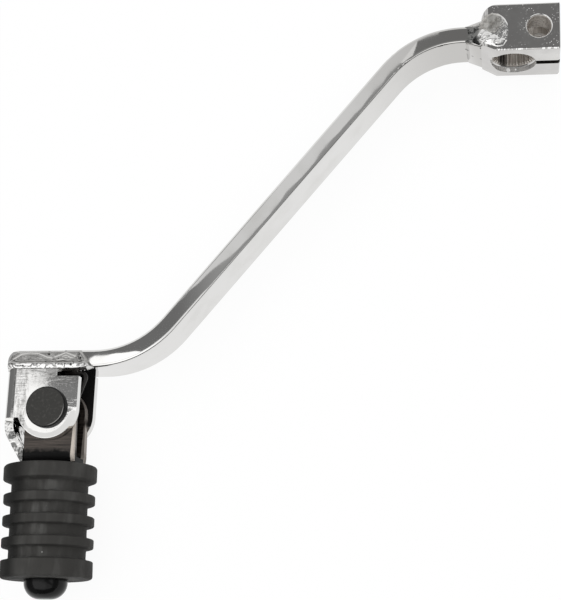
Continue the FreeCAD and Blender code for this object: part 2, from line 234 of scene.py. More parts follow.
bar = {  # bar and neck, with painted shade darkening them towards the clamp, and soot where the neck meets the bar
    "shadeNearClamp": rgb(0.54, 0.53, 0.515), "nearStep": (-50.0, -15.0), "roughShare": 0.4,
    "sootAndShade": rgb(0.03, 0.03, 0.028), "seam": -12.97, "seamWidth": (0.1, 0.35), "seamMiddle": -2.3,
    "seamLength": (1.5, 2.4), "seamFront": (-2.9, -2.5), "seamShare": 0.4,
    "marks": [((-12.9, -3.44, 2.5), 0.75, 0.8), ((-8.6, -4.91, 6.1), 0.7, 0.9),  # place, radius and share
              ((-11.57, -3.89, -0.9), 0.5, 0.5), ((-9.18, -4.71, -1.3), 0.5, 0.5)]}


def platedBar(name):
    paint = newPaint(name)
    spot = paint.place()
    x, y, z = paint.apart(spot)
    haze, rough, normal = platedBase(paint, spot, False)
    skin = paint.blend(haze, plate["colour"], plate["smudge"])
    # painted shade: the plating darkens towards the clamp
    skin = paint.blend(paint.rise(x, *bar["nearStep"]), skin, bar["shadeNearClamp"])
    marks = paint.fall(paint.size(x - bar["seam"]), *bar["seamWidth"])
    marks = marks * paint.fall(paint.size(z - bar["seamMiddle"]), *bar["seamLength"])
    marks = marks * paint.fall(y, *bar["seamFront"]) * bar["seamShare"]
    for centre, radius, share in bar["marks"]:
        marks = marks | paint.fall(paint.reach(spot, centre), radius * spotCore, radius) * share
    return paint.surface({"Base Color": paint.blend(marks, skin, bar["sootAndShade"]), "Metallic": 1.0,
                          "Roughness": rough * bar["roughShare"], "Normal": normal})


bare = {  # inside the clamp's holes, where no plating reached
    "colour": rgb(0.4, 0.365, 0.33), "streak": rgb(0.75, 0.72, 0.68), "rough": 0.3, "dull": 0.45,
    "streakGrain": (1.0, 4, 0.65, (1.6, 0.12, 1.6)), "streakStep": (0.35, 0.7)}
clamp = {  # splined clamp: bore, pinch hole and slit, with painted shade in the bore and slit and painted glints on the edges round them
    # painted shade: the clamp's plating colour is set darker than the bar's
    "colour": rgb(0.56, 0.55, 0.54), "sootAndShade": rgb(0.02, 0.018, 0.016), "glint": rgb(0.92, 0.92, 0.91),
    "boreStep": (6.14, 6.19), "pinchPlace": 7.204, "lean": 0.0349, "pinchStep": (3.36, 3.4),
    "slitStep": (1.08, 1.11), "slitStart": (5.4, 5.6), "slitFront": (-4.2, -3.6), "wellStep": (3.606, 3.808),
    "boreShadowStart": (-4.6, -3.9), "boreShadowEnd": (-2.6, -1.9), "sootAndShadeShare": 0.8,
    "threadPitch": 1.0, "threadBump": (0.8, 0.00014),
    "rimInside": (3.48, 3.54), "rimOutside": (3.64, 3.7), "rimLevel": (8.5, 8.6), "rimGrain": (0.35, 3),
    "rimStep": (0.3, 0.5), "rimShare": 0.85,
    "dashGrain": (1.0, 3, 0.7, (0.8, 0.1, 0.1)), "dashStep": (0.48, 0.54), "dashFront": (-6.65, -6.55),
    "dashLevel": (8.72, 8.78),
    "fleckDots": (0.95, 0.17), "fleckGrain": (0.16, 2), "fleckStep": (0.36, 0.56), "fleckLevel": (8.95, 8.98),
    "fleckShare": 0.6,
    "entryInside": (6.19, 6.24), "entryOutside": (6.5, 6.55), "entryFront": (-5.5, -5.4), "entryShare": 0.45,
    "glintSpots": [((-1.7, -6.3, -6.4), 0.5, 0.9), ((0.4, -6.2, -6.5), 0.2, 0.4)], "glintRough": 0.3}


def platedClamp(name):
    paint = newPaint(name)
    spot = paint.place()
    x, y, z = paint.apart(spot)
    haze, rough, normal = platedBase(paint, spot)
    fromBore = paint.reach(spot, (0, 0, 0), y=0)
    aside = x - z * clamp["lean"] - clamp["pinchPlace"]
    fromPinch = aside * aside + y * y  # squared
    level = paint.size(z + x * clamp["lean"])  # above or below the slit's middle

    inBore = paint.fall(fromBore, *clamp["boreStep"])
    inPinch = paint.fall(fromPinch, *squared(clamp["pinchStep"]))
    inSlit = paint.fall(level, *clamp["slitStep"]) * paint.rise(x, *clamp["slitStart"])
    inWell = paint.fall(fromPinch, *squared(clamp["wellStep"]))
    unplated = inBore | inPinch | inSlit
    streaks = paint.patches(spot, bare["streakGrain"], bare["streakStep"])
    metal = paint.blend(streaks, bare["colour"], bare["streak"])
    # painted shadow on one side of the bore, and painted shade in the slit
    boreShadow = inBore * paint.rise(x, *clamp["boreShadowStart"]) * paint.fall(x, *clamp["boreShadowEnd"])
    slitShade = inSlit * (1 - inWell) * paint.fall(y, *clamp["slitFront"])
    metal = paint.blend(boreShadow * clamp["sootAndShadeShare"] | slitShade, metal, clamp["sootAndShade"])

    # painted highlights: white glints on the pinch hole's rim, along the front edge, on specks over the top
    # and in the bore's entry
    pinchRim = paint.rise(fromPinch, *squared(clamp["rimInside"]))
    pinchRim = pinchRim * paint.fall(fromPinch, *squared(clamp["rimOutside"]))
    pinchRim = pinchRim * paint.rise(level, *clamp["rimLevel"])
    pinchRim = pinchRim * paint.patches(spot, clamp["rimGrain"], clamp["rimStep"])
    frontRim = paint.fall(y, *clamp["dashFront"]) * paint.rise(level, *clamp["dashLevel"])
    frontRim = frontRim * paint.patches(spot, clamp["dashGrain"], clamp["dashStep"])
    flecks = paint.dots(spot, *clamp["fleckDots"], "2D") * paint.rise(level, *clamp["fleckLevel"])
    flecks = flecks * paint.patches(spot, clamp["fleckGrain"], clamp["fleckStep"])
    entry = paint.rise(fromBore, *clamp["entryInside"]) * paint.fall(fromBore, *clamp["entryOutside"])
    entry = entry * paint.fall(y, *clamp["entryFront"])
    wearAndGlint = pinchRim * clamp["rimShare"] | frontRim
    wearAndGlint = wearAndGlint | flecks * clamp["fleckShare"] | entry * clamp["entryShare"]
    for centre, near, far in clamp["glintSpots"]:
        wearAndGlint = wearAndGlint | paint.fall(paint.reach(spot, centre), near, far)

    turns = paint.add("ShaderNodeMath", {"operation": "SINE"}, {0: z * (2 * math.pi / clamp["threadPitch"])})
    coat = paint.blend(unplated, paint.blend(haze, clamp["colour"], plate["smudge"]), metal)
    return paint.surface({"Base Color": paint.blend(wearAndGlint, coat, clamp["glint"]),
                          "Metallic": 1 - wearAndGlint - unplated * bare["dull"],
                          "Roughness": rough + unplated * bare["rough"] + wearAndGlint * clamp["glintRough"],
                          "Normal": paint.bump(turns * inPinch, *clamp["threadBump"], normal)})


bracket = {  # folded bracket: dark inside as painted shade, rolled on its cheeks with painted shade in a striped band and above the pin, hammered on its lip with painted dark reflections
    "shade": rgb(0.006, 0.0055, 0.0055), "darkReflection": rgb(0.05, 0.05, 0.048), "dim": rgb(0.34, 0.335, 0.325),
    "insideHalf": (6.06, 6.1), "insideWeb": (-138.72, -138.68), "insideLip": (-110.6, -110.3),
    "insideRough": 0.5, "specular": 0.2, "lipFront": (-111.4, -110.6), "lipHalf": (5.7, 5.9),
    "lumpGrain": (0.3, 2, 0.5), "lumpBump": (0.7, 0.0009),
    "darkReflectionGrain": (0.42, 2, 0.5), "darkReflectionStep": (0.55, 0.6), "darkReflectionShare": 0.75,
    "dimpleGrain": (0.9, 3, 0.6, (0.35, 1.3, 0.35)), "dimpleBump": (0.04, 0.0002),
    "rimStep": (6.0, 8.7), "rimFront": (pivot.y - 3.5, pivot.y + 1.0), "rimBump": (1.0, 0.0001),
    "bandGrain": (1.0, 3, 0.7, (0.12, 1.6, 0.12)), "bandSide": (-135.2, -133.8), "bandBump": (0.12, 0.0002),
    "stripeGrain": (1.0, 4, 0.7, (1.5, 0.3, 1.0)), "stripeStep": (0.42, 0.62), "stripeSide": (-134.2, -133.4),
    "stripeShare": 0.75, "cheekShadeGrain": (1.0, 5, 0.75, (0.9, 0.9, 1.0)), "cheekShadeStep": (0.45, 0.65),
    "cheekShadeVaried": 0.6, "cheekShadeEven": 0.4, "cheekShadeBack": (-102.6, -98.8), "cheekShadeSide": (-136.0, -131.0),
    "cheekShadeShare": 0.9, "topStep": (8.42, 8.47)}


def platedBracket(name):
    paint = newPaint(name)
    spot = paint.place()
    x, y, z = paint.apart(spot)
    haze, rough, normal = platedBase(paint, spot)
    half = paint.size(z)
    within = paint.fall(half, *bracket["insideHalf"]) * paint.rise(x, *bracket["insideWeb"])
    within = within * paint.rise(y, *bracket["insideLip"])
    onLip = paint.fall(y, *bracket["lipFront"]) * paint.fall(half, *bracket["lipHalf"])
    onTop = paint.rise(z, *bracket["topStep"])

    edge = paint.rise(paint.reach(spot, tuple(pivot), z=0), *bracket["rimStep"])
    edge = edge * paint.fall(y, *bracket["rimFront"])
    normal = paint.bump(1 - edge * edge, *bracket["rimBump"], normal)
    normal = paint.bump(paint.grain(spot, *bracket["dimpleGrain"]), *bracket["dimpleBump"], normal)
    bands = paint.sway(spot, *bracket["bandGrain"]) * paint.fall(x, *bracket["bandSide"])
    normal = paint.bump(bands, *bracket["bandBump"], normal)
    lumps = paint.grain(spot, *bracket["lumpGrain"])
    normal = paint.bump(lumps * onLip, *bracket["lumpBump"], normal)

    # painted shade: a striped band darkens the cheek's left, and a darkening lies above the pin
    stripes = paint.patches(spot, bracket["stripeGrain"], bracket["stripeStep"])
    stripes = stripes * paint.fall(x, *bracket["stripeSide"])
    cheekShade = paint.patches(spot, bracket["cheekShadeGrain"], bracket["cheekShadeStep"])
    cheekShade = cheekShade * bracket["cheekShadeVaried"] + bracket["cheekShadeEven"]
    cheekShade = cheekShade * paint.rise(y, *bracket["cheekShadeBack"]) * paint.rise(x, *bracket["cheekShadeSide"])
    # painted reflection: dark patches on the hammered lip
    darkReflections = paint.patches(spot, bracket["darkReflectionGrain"], bracket["darkReflectionStep"]) * onLip
    skin = paint.blend(haze, plate["colour"], plate["smudge"])
    cheekShading = (stripes * bracket["stripeShare"] | cheekShade * bracket["cheekShadeShare"]) * onTop
    skin = paint.blend(cheekShading, skin, bracket["dim"])
    skin = paint.blend(darkReflections * bracket["darkReflectionShare"], skin, bracket["darkReflection"])
    return paint.surface({"Base Color": paint.blend(within, skin, bracket["shade"]), "Metallic": 1 - within,
                          "Roughness": rough + within * bracket["insideRough"],
                          "Specular IOR Level": bracket["specular"], "Normal": normal})


weld = {  # bead at the bracket: bright ridge, darker puddle behind it, dark pits, and painted shade in the hollows
    "puddle": rgb(0.4, 0.395, 0.385), "pitsAndShade": rgb(0.02, 0.02, 0.02), "crestStep": (-94.9, -94.4),
    "pitDots": (0.4, 0.16), "pitBump": (1.0, 0.0002), "pitShare": 0.9,
    "rippleGrain": (0.9, 4, 0.6), "rippleBump": (0.12, 0.0003),
    "hollowStep": (0.43, 0.485), "hollowShare": 0.85, "rough": 0.1, "pitsAndShadeRough": 0.3}


def platedWeld(name):
    paint = newPaint(name)
    spot = paint.place()
    y = paint.apart(spot)[1]
    haze, rough, normal = platedBase(paint, spot)
    pits = paint.dots(spot, *weld["pitDots"])
    ripple = paint.grain(spot, *weld["rippleGrain"])
    normal = paint.bump(ripple, *weld["rippleBump"], normal)
    normal = paint.bump(1 - pits, *weld["pitBump"], normal)
    skin = paint.blend(haze, plate["colour"], plate["smudge"])
    skin = paint.blend(paint.rise(y + ripple, *weld["crestStep"]), skin, weld["puddle"])
    # dark pits, and painted shade in the mesh's hollows
    pitsAndShade = pits * weld["pitShare"] | paint.hollow(*weld["hollowStep"]) * weld["hollowShare"]
    return paint.surface({"Base Color": paint.blend(pitsAndShade, skin, weld["pitsAndShade"]), "Metallic": 1.0,
                          "Roughness": rough + pitsAndShade * weld["pitsAndShadeRough"] + weld["rough"], "Normal": normal})


mound = {  # heap at the clamp: dull mottled crown, a strip of bright lumps at its front and one black blob
    "grey": rgb(0.55, 0.54, 0.515), "brown": rgb(0.34, 0.325, 0.3), "shade": rgb(0.17, 0.17, 0.165),
    "middle": (-5.7, -3.1), "run": (0.848, -0.53), "stripWidth": (1.0, 1.3), "stripLength": (3.6, 4.0),
    "mottleGrain": (0.55, 5, 0.7), "mottleStep": (-0.12, 0.12),
    "crown": (-6.2, 1.3, 9.0), "crownStep": (2.53, 4.6), "crownRagged": 3.0,
    "sootAndShade": (-9.7, -3.0, 7.5), "sootStep": (1.085, 1.55), "sootRagged": 1.8, "sootAndShadeShare": 0.97,
    "barSide": (-9.6, -8.4), "barRagged": 2.0, "pitDots": (0.45, 0.17),
    "rippleGrain": (1.2, 4, 0.6), "rippleBump": (0.5, 0.0003), "rippleDull": 0.6, "rippleEven": 0.06,
    "dullRough": 0.26, "sootRough": 0.2}


def moundWeld(name):
    paint = newPaint(name)
    spot = paint.place()
    x, y = paint.apart(spot)[:2]
    rough, normal = platedBase(paint, spot)[1:]
    away = x - mound["middle"][0]
    over = y - mound["middle"][1]
    along = away * mound["run"][0] + over * mound["run"][1]
    across = over * mound["run"][0] - away * mound["run"][1]
    bright = paint.fall(paint.size(across), *mound["stripWidth"])
    bright = bright * paint.fall(paint.size(along), *mound["stripLength"])
    mottle = paint.sway(spot, *mound["mottleGrain"])
    fromCrown = paint.reach(spot, mound["crown"], z=0) + mottle * mound["crownRagged"]
    dull = paint.fall(fromCrown, *mound["crownStep"]) * (1 - bright)
    fromSoot = paint.reach(spot, mound["sootAndShade"]) + mottle * mound["sootRagged"]
    sootAndShade = paint.fall(fromSoot, *mound["sootStep"]) | paint.dots(spot, *mound["pitDots"])
    # painted shade in the hollows of the bright lumps
    sootAndShade = sootAndShade | paint.hollow(*weld["hollowStep"]) * bright * weld["hollowShare"]
    barSide = paint.fall(x + mottle * mound["barRagged"], *mound["barSide"]) * (1 - bright)
    crust = paint.blend(paint.rise(mottle, *mound["mottleStep"]), mound["grey"], mound["brown"])
    skin = paint.blend(barSide, paint.blend(dull, plate["colour"], crust), mound["shade"])
    ripple = paint.sway(spot, *mound["rippleGrain"])
    ripple = ripple * (dull * mound["rippleDull"] + bright + mound["rippleEven"])
    return paint.surface({"Base Color": paint.blend(sootAndShade * mound["sootAndShadeShare"], skin, weld["pitsAndShade"]),
                          "Metallic": 1.0,
                          "Roughness": rough + dull * mound["dullRough"] + sootAndShade * mound["sootRough"],
                          "Normal": paint.bump(ripple, *mound["rippleBump"], normal)})


barPlate = platedBar("plated_bar")
clampPlate = platedClamp("plated_clamp")
bracketPlate = platedBracket("plated_bracket")
weldPlate = platedWeld("plated_weld")
moundPlate = moundWeld("mound_weld")

black = {  # pin and rod
    "satin": rgb(0.026, 0.0255, 0.0235), "wearAndGlint": rgb(0.05, 0.048, 0.045), "gloss": rgb(0.004, 0.004, 0.004),
    "glint": rgb(0.3, 0.29, 0.28), "rimStep": (5.36, 5.44), "glintRing": 5.24, "glintWidth": (0.03, 0.1),
    "glintWay": (0.8, -0.6), "glintStep": (3.6, 4.9), "fleckGrain": (1.3, 5), "fleckStep": (0.5, 0.75),
    "pinRough": 0.5, "fleckRough": 0.12, "pinSpecular": 0.25, "pinGrain": (2.2, 3), "pinBump": (0.2, 0.0001),
    "chipDots": (0.5, 0.1), "smearGrain": (0.9, 3), "rodRough": 0.1, "smearRough": 0.12, "rodSpecular": 0.2,
    "rodGrain": (0.5, 2), "rodBump": (0.15, 0.0001)}


def blackPin(name):  # satin head with a blacker rim as painted shade and a painted glint on its lower right
    paint = newPaint(name)
    spot = paint.place()
    x, y = paint.apart(spot)[:2]
    fleck = paint.patches(spot, black["fleckGrain"], black["fleckStep"])
    fromAxis = paint.reach(spot, tuple(pivot), z=0)
    # painted shade: the rim is blacker; painted highlight: a glint line on the lower right
    rim = paint.rise(fromAxis, *black["rimStep"])
    side = (x - pivot.x) * black["glintWay"][0] + (y - pivot.y) * black["glintWay"][1]
    line = paint.fall(paint.size(fromAxis - black["glintRing"]), *black["glintWidth"])
    line = line * paint.rise(side, *black["glintStep"])
    head = paint.blend(rim, paint.blend(fleck, black["satin"], black["wearAndGlint"]), black["gloss"])
    return paint.surface({"Base Color": paint.blend(line, head, black["glint"]),
                          "Roughness": fleck * black["fleckRough"] + black["pinRough"],
                          "Specular IOR Level": black["pinSpecular"],
                          "Normal": paint.bump(paint.grain(spot, *black["pinGrain"]), *black["pinBump"])})


def blackRod(name):  # glossy black, chipped in a few places
    paint = newPaint(name)
    spot = paint.place()
    chips = paint.dots(spot, *black["chipDots"])
    smear = paint.grain(spot, *black["smearGrain"])
    return paint.surface({"Base Color": paint.blend(chips, black["gloss"], black["wearAndGlint"]),
                          "Roughness": smear * black["smearRough"] + black["rodRough"],
                          "Specular IOR Level": black["rodSpecular"],
                          "Normal": paint.bump(paint.grain(spot, *black["rodGrain"]), *black["rodBump"])})


pinBlack = blackPin("black_pin")
rodBlack = blackRod("black_rod")

brushed = {  # peg bracket, bare at its sheared edges with a painted highlight on them, painted light on its rounded ear ends, and black towards its base
    "colour": rgb(0.06, 0.054, 0.05), "streak": rgb(0.13, 0.112, 0.1), "black": rgb(0.003, 0.003, 0.003),
    "edge": rgb(0.5, 0.45, 0.4), "wearAndGlint": rgb(0.2, 0.18, 0.165), "lineGrain": (1.5, 4, 0.7, (0.06, 1.5, 1.5)),
    "lineStep": (0.35, 0.7), "lineBump": (0.3, 0.00006), "blackBaseGrain": (0.8, 4), "blackBaseRagged": 2.4,
    "blackBaseStep": (-119.6, -118.0), "lean": 0.0314, "earStep": (7.05, 7.15),
    "upperEar": (4.35, 4.55), "lowerEar": (-3.2, -2.6), "lowerShare": 0.5, "shearEnd": (-111.5, -109.5),
    "roundStart": (-110.0, -108.0), "rough": 0.34, "lineRough": 0.1, "blackBaseRough": 0.2, "specular": 0.15}


def brushedSteel(name):
    paint = newPaint(name)
    spot = paint.place()
    x, y, z = paint.apart(spot)
    lines = paint.grain(spot, *brushed["lineGrain"])
    share = paint.rise(lines, *brushed["lineStep"])
    ragged = y + paint.sway(spot, *brushed["blackBaseGrain"]) * brushed["blackBaseRagged"]
    dark = paint.fall(ragged, *brushed["blackBaseStep"])
    side = (x - pivot.x) - (y - pivot.y) * brushed["lean"]
    ears = paint.rise(z, *brushed["upperEar"]) | paint.fall(z, *brushed["lowerEar"]) * brushed["lowerShare"]
    # bare sheared edges, with a painted highlight
    shearedHighlight = ears * paint.rise(side, *brushed["earStep"]) * paint.fall(y, *brushed["shearEnd"])
    # painted light: the rounded ear ends are lighter
    roundEnd = paint.rise(paint.reach(spot, tuple(pivot), z=0), *brushed["earStep"])
    roundEnd = roundEnd * paint.rise(y, *brushed["roundStart"])
    metal = paint.blend(share, brushed["colour"], brushed["streak"])
    metal = paint.blend(roundEnd, metal, brushed["wearAndGlint"])
    face = paint.blend(dark, metal, brushed["black"])
    rough = share * brushed["lineRough"] + brushed["rough"] + dark * brushed["blackBaseRough"]
    return paint.surface({"Base Color": paint.blend(shearedHighlight, face, brushed["edge"]),
                          "Metallic": 1 - (dark | shearedHighlight | roundEnd), "Roughness": rough,
                          "Specular IOR Level": brushed["specular"],
                          "Normal": paint.bump(lines, *brushed["lineBump"])})


wire = {  # spring wire, with painted shadow along its straight leg
    "colour": rgb(0.09, 0.08, 0.074), "streak": rgb(0.26, 0.23, 0.21), "black": rgb(0.004, 0.004, 0.004),
    "streakGrain": (1.0, 4, 0.7, (0.5, 0.5, 2.5)), "streakStep": (0.35, 0.7), "legStep": (-103.6, -102.6),
    "sootAndShadeShare": 0.85, "metallic": 0.5, "rough": 0.3, "streakRough": 0.1, "specular": 0.3}


def drawnWire(name):
    paint = newPaint(name)
    spot = paint.place()
    y = paint.apart(spot)[1]
    share = paint.patches(spot, wire["streakGrain"], wire["streakStep"])
    # painted shadow on the straight leg
    sootAndShade = paint.rise(y, *wire["legStep"]) * wire["sootAndShadeShare"]
    metal = paint.blend(share, wire["colour"], wire["streak"])
    return paint.surface({"Base Color": paint.blend(sootAndShade, metal, wire["black"]),
                          "Metallic": wire["metallic"] - sootAndShade * wire["metallic"],
                          "Roughness": share * wire["streakRough"] + wire["rough"],
                          "Specular IOR Level": wire["specular"]})


pegSteel = brushedSteel("brushed_peg")
springSteel = drawnWire("spring_wire")

rubber = {  # moulded rubber: pale bloom with painted sheen added in the grooves, a band of painted shade along its top, dust and pores
    "colour": rgb(0.037, 0.036, 0.034), "pale": rgb(0.095, 0.094, 0.09), "dark": rgb(0.012, 0.012, 0.0115),
    "dust": rgb(0.4, 0.4, 0.39), "bloomGrain": (1.0, 4, 0.5, (0.3, 0.08, 0.3)), "bloomStep": (0.42, 0.75),
    "bloomEven": 0.4, "grooveSheen": 0.6, "grooveStep": (11.3, 11.6), "axis": (pivot.x - 2.0, 0, 0),
    "darkLine": -134.9, "darkLean": 0.03, "darkStep": (0.8, 6.0),
    "darkAbove": (0.0, 3.0), "darkShare": 0.85, "dustDots": (0.16, 0.05), "poreDots": (1.1, 0.12),
    "poreDepth": 0.5, "skinGrain": (2.2, 4, 0.6), "skinBump": (0.4, 0.00012), "rough": 0.6, "skinRough": 0.2,
    "specular": 0.1}


def mouldedRubber(name):
    paint = newPaint(name)
    spot = paint.place()
    x, y, z = paint.apart(spot)
    bloomAndSheen = paint.patches(spot, rubber["bloomGrain"], rubber["bloomStep"])
    # painted sheen: more of the pale tone in the grooves
    inGroove = paint.fall(paint.reach(spot, rubber["axis"], y=0), *rubber["grooveStep"])
    bloomAndSheen = bloomAndSheen * (inGroove * rubber["grooveSheen"] + rubber["bloomEven"])
    # painted shade in a band along the rubber's top
    aside = x - rubber["darkLine"] - (y - pivot.y) * rubber["darkLean"]
    bandShade = paint.fall(paint.size(aside), *rubber["darkStep"]) * paint.rise(z, *rubber["darkAbove"])
    base = paint.blend(bloomAndSheen, rubber["colour"], rubber["pale"])
    base = paint.blend(bandShade * rubber["darkShare"], base, rubber["dark"])
    dusty = paint.dots(spot, *rubber["dustDots"])
    skin = paint.grain(spot, *rubber["skinGrain"])
    pitted = skin - paint.dots(spot, *rubber["poreDots"]) * rubber["poreDepth"]
    return paint.surface({"Base Color": paint.blend(dusty, base, rubber["dust"]),
                          "Roughness": skin * rubber["skinRough"] + rubber["rough"],
                          "Specular IOR Level": rubber["specular"],
                          "Normal": paint.bump(pitted, *rubber["skinBump"])})


toeRubber = mouldedRubber("moulded_rubber")
finishes = {"spline_boss": clampPlate, "lever_bar": barPlate, "tip_bracket": bracketPlate,
            "boss_weld": weldPlate, "upper_bracket_weld": weldPlate, "lower_bracket_weld": weldPlate,
            "pivot_pin": pinBlack, "peg_rod": rodBlack, "peg_bracket": pegSteel,
            "torsion_spring": springSteel, "toe_rubber": toeRubber}
for nodeName, finish in finishes.items():
    nodes[nodeName].data.materials.clear()
    nodes[nodeName].data.materials.append(finish)
print("finishes on the solids")


def settle(name, shape, material, node=None):  # a shape in millimetres becomes a piece
    bmesh.ops.scale(shape, vec=(mm, mm, mm), verts=shape.verts)
    mesh = bpy.data.meshes.new(name)
    shape.to_mesh(mesh)
    shape.free()
    for face in mesh.polygons:
        face.use_smooth = True
    mesh.materials.append(material)
    piece = bpy.data.objects.new(name, mesh)
    bpy.context.scene.collection.objects.link(piece)
    if node:
        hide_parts(node)
    return piece


def bridge(shape, first, second):  # faces between two rings
    for index in range(len(first)):
        after = (index + 1) % len(first)
        shape.faces.new((first[index], first[after], second[after], second[index]))


def lineGap(points, x, y):  # distance to a run of straight pieces
    nearest = math.inf
    for (ax, ay), (bx, by) in zip(points, points[1:]):
        share = ((x - ax) * (bx - ax) + (y - ay) * (by - ay)) / ((bx - ax) ** 2 + (by - ay) ** 2)
        share = max(0.0, min(1.0, share))
        nearest = min(nearest, math.hypot(x - ax - (bx - ax) * share, y - ay - (by - ay) * share))
    return nearest


def depthIn(outline, x, y):  # how far inside a closed outline, 0 outside
    inside = False
    for (ax, ay), (bx, by) in zip(outline, outline[1:] + outline[:1]):
        if (ay > y) != (by > y) and x < (bx - ax) * (y - ay) / (by - ay) + ax:
            inside = not inside
    return lineGap(outline + outline[:1], x, y) if inside else 0.0


def smoothStep(share):
    share = max(0.0, min(1.0, share))
    return share * share * (3 - 2 * share)


def hump(gap, width):  # 1 on a line or point, falling away smoothly beside it
    return math.exp(-(gap / width) ** 2)


def heap(outline, step, foot, top):  # a closed lump on a flat foot, with its upper face given by top(x, y)
    shape = bmesh.new()
    spots = {}
    left = min(x for x, y in outline)
    low = min(y for x, y in outline)
    across = max(x for x, y in outline) - left
    along = max(y for x, y in outline) - low
    for i in range(int(across / step) + 1):
        for j in range(int(along / step) + 1):
            x, y = left + i * step, low + j * step
            if depthIn(outline, x, y) > 0:
                spots[i, j] = shape.verts.new((x, y, foot))
    for i, j in spots:
        corners = [(i, j), (i + 1, j), (i + 1, j + 1), (i, j + 1)]
        if all(corner in spots for corner in corners):
            shape.faces.new([spots[corner] for corner in corners])
    for point in [spot for spot in shape.verts if not spot.link_faces]:
        shape.verts.remove(point)
    raised = bmesh.ops.extrude_face_region(shape, geom=list(shape.faces), use_keep_orig=True)["geom"]
    for point in raised:
        if isinstance(point, bmesh.types.BMVert):
            point.co.z = top(point.co.x, point.co.y)
    bmesh.ops.recalc_face_normals(shape, faces=shape.faces)
    return shape


# neck from the bar to the clamp, ground flush; each end is (x, front, back, low, high)
neck = {"inner": (-5.9, -5.83, 4.3, -8.765, 7.4), "outer": (-13.0, -3.4, 2.0, -7.2, 6.85), "round": 1.0,
        "arcSteps": 6}


def neckRing(shape, x, front, back, low, high):  # a rounded rectangle
    ring = []
    radius = neck["round"]
    for a, b, first in ((front, low, 180), (back, low, 270), (back, high, 0), (front, high, 90)):
        y = a + radius * (1 if a == front else -1)
        z = b + radius * (1 if b == low else -1)
        for step in range(neck["arcSteps"] + 1):
            angle = math.radians(first + 90 * step / neck["arcSteps"])
            ring.append(shape.verts.new((x, y + radius * math.cos(angle), z + radius * math.sin(angle))))
    return ring


def flushNeck():
    shape = bmesh.new()
    inner = neckRing(shape, *neck["inner"])
    outer = neckRing(shape, *neck["outer"])
    bridge(shape, inner, outer)
    shape.faces.new(inner)
    shape.faces.new(outer)
    bmesh.ops.recalc_face_normals(shape, faces=shape.faces)
    return shape


piece = settle("clamp_neck", flushNeck(), barPlate, "boss_weld")
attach(piece, "lever")

# weld heaped on the neck and the clamp's shoulder
# lumps are (x, y, reach, rise), swell and grit (scale, height)
bossWeld = {
    "step": 0.12, "foot": 6.0, "barTop": 7.0, "bossTop": 8.995, "lean": 0.0349, "shoulder": (-8.9, 2.0),
    "cover": 0.17, "rampStart": -12.8, "rampRun": 6.6, "feather": 1.0, "sink": 0.05,
    "outline": [(-13.2, -3.0), (-11, -3.5), (-9.6, -4.2), (-8.2, -4.7), (-6, -5.7), (-4, -6.2), (-2.2, -6.0),
                (-1.0, -4.2), (-0.6, -1.5), (-0.8, 1.0), (-1.8, 3.0), (-3.6, 4.4), (-5.6, 4.7), (-7.2, 4.0),
                (-8.6, 2.2), (-10.5, 1.75), (-13.2, 1.6)],
    "lumps": [(-8.7, -1.6, 0.7, 0.6), (-7.7, -2.7, 0.7, 0.6), (-6.5, -2.5, 0.7, 0.5), (-5.7, -3.7, 0.8, 0.6),
              (-4.5, -3.5, 0.7, 0.5), (-4.1, -4.8, 0.7, 0.6), (-3.1, -5.1, 0.6, 0.55),
              (-2.6, -4.2, 0.5, 0.45), (-7.0, -3.9, 0.7, 0.5), (-9.7, -2.9, 1.0, 0.7)],
    "ridge": [(-2.9, 3.2), (-2.2, 2.1), (-1.5, 0.9), (-1.2, -0.7), (-1.5, -2.4)], "ridgeHeight": 0.13,
    "ridgeWidth": 0.25, "swell": (0.5, 0.08), "swellNoise": (1.0, 2.0, 4), "grit": (2.1, 0.03)}


def bossGround(x):  # the bar's top, the clamp's rounded shoulder and its top
    edge, radius = bossWeld["shoulder"]
    level = bossWeld["bossTop"] - bossWeld["lean"] * x
    if x < edge:
        return bossWeld["barTop"]
    if x < edge + radius:
        return level - radius + math.sqrt(radius ** 2 - (edge + radius - x) ** 2)
    return level


def bossHeap(x, y):
    ramp = smoothStep((x - bossWeld["rampStart"]) / bossWeld["rampRun"])
    crown = bossWeld["bossTop"] - bossWeld["lean"] * x + bossWeld["cover"]
    level = bossWeld["barTop"] + (crown - bossWeld["barTop"]) * ramp
    spot = Vector((x, y, 0))
    for a, b, reach, rise in bossWeld["lumps"]:
        level += rise * hump(math.hypot(x - a, y - b), reach)
    level += bossWeld["ridgeHeight"] * hump(lineGap(bossWeld["ridge"], x, y), bossWeld["ridgeWidth"])
    swellScale, swellHeight = bossWeld["swell"]
    gritScale, gritHeight = bossWeld["grit"]
    level += noise.fractal(spot * swellScale, *bossWeld["swellNoise"]) * swellHeight
    level += noise.noise(spot * gritScale) * gritHeight
    ground = bossGround(x) - bossWeld["sink"]
    return ground + (level - ground) * smoothStep(depthIn(bossWeld["outline"], x, y) / bossWeld["feather"])


mass = heap(bossWeld["outline"], bossWeld["step"], bossWeld["foot"], bossHeap)
piece = settle("clamp_weld", mass, moundPlate)
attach(piece, "lever")

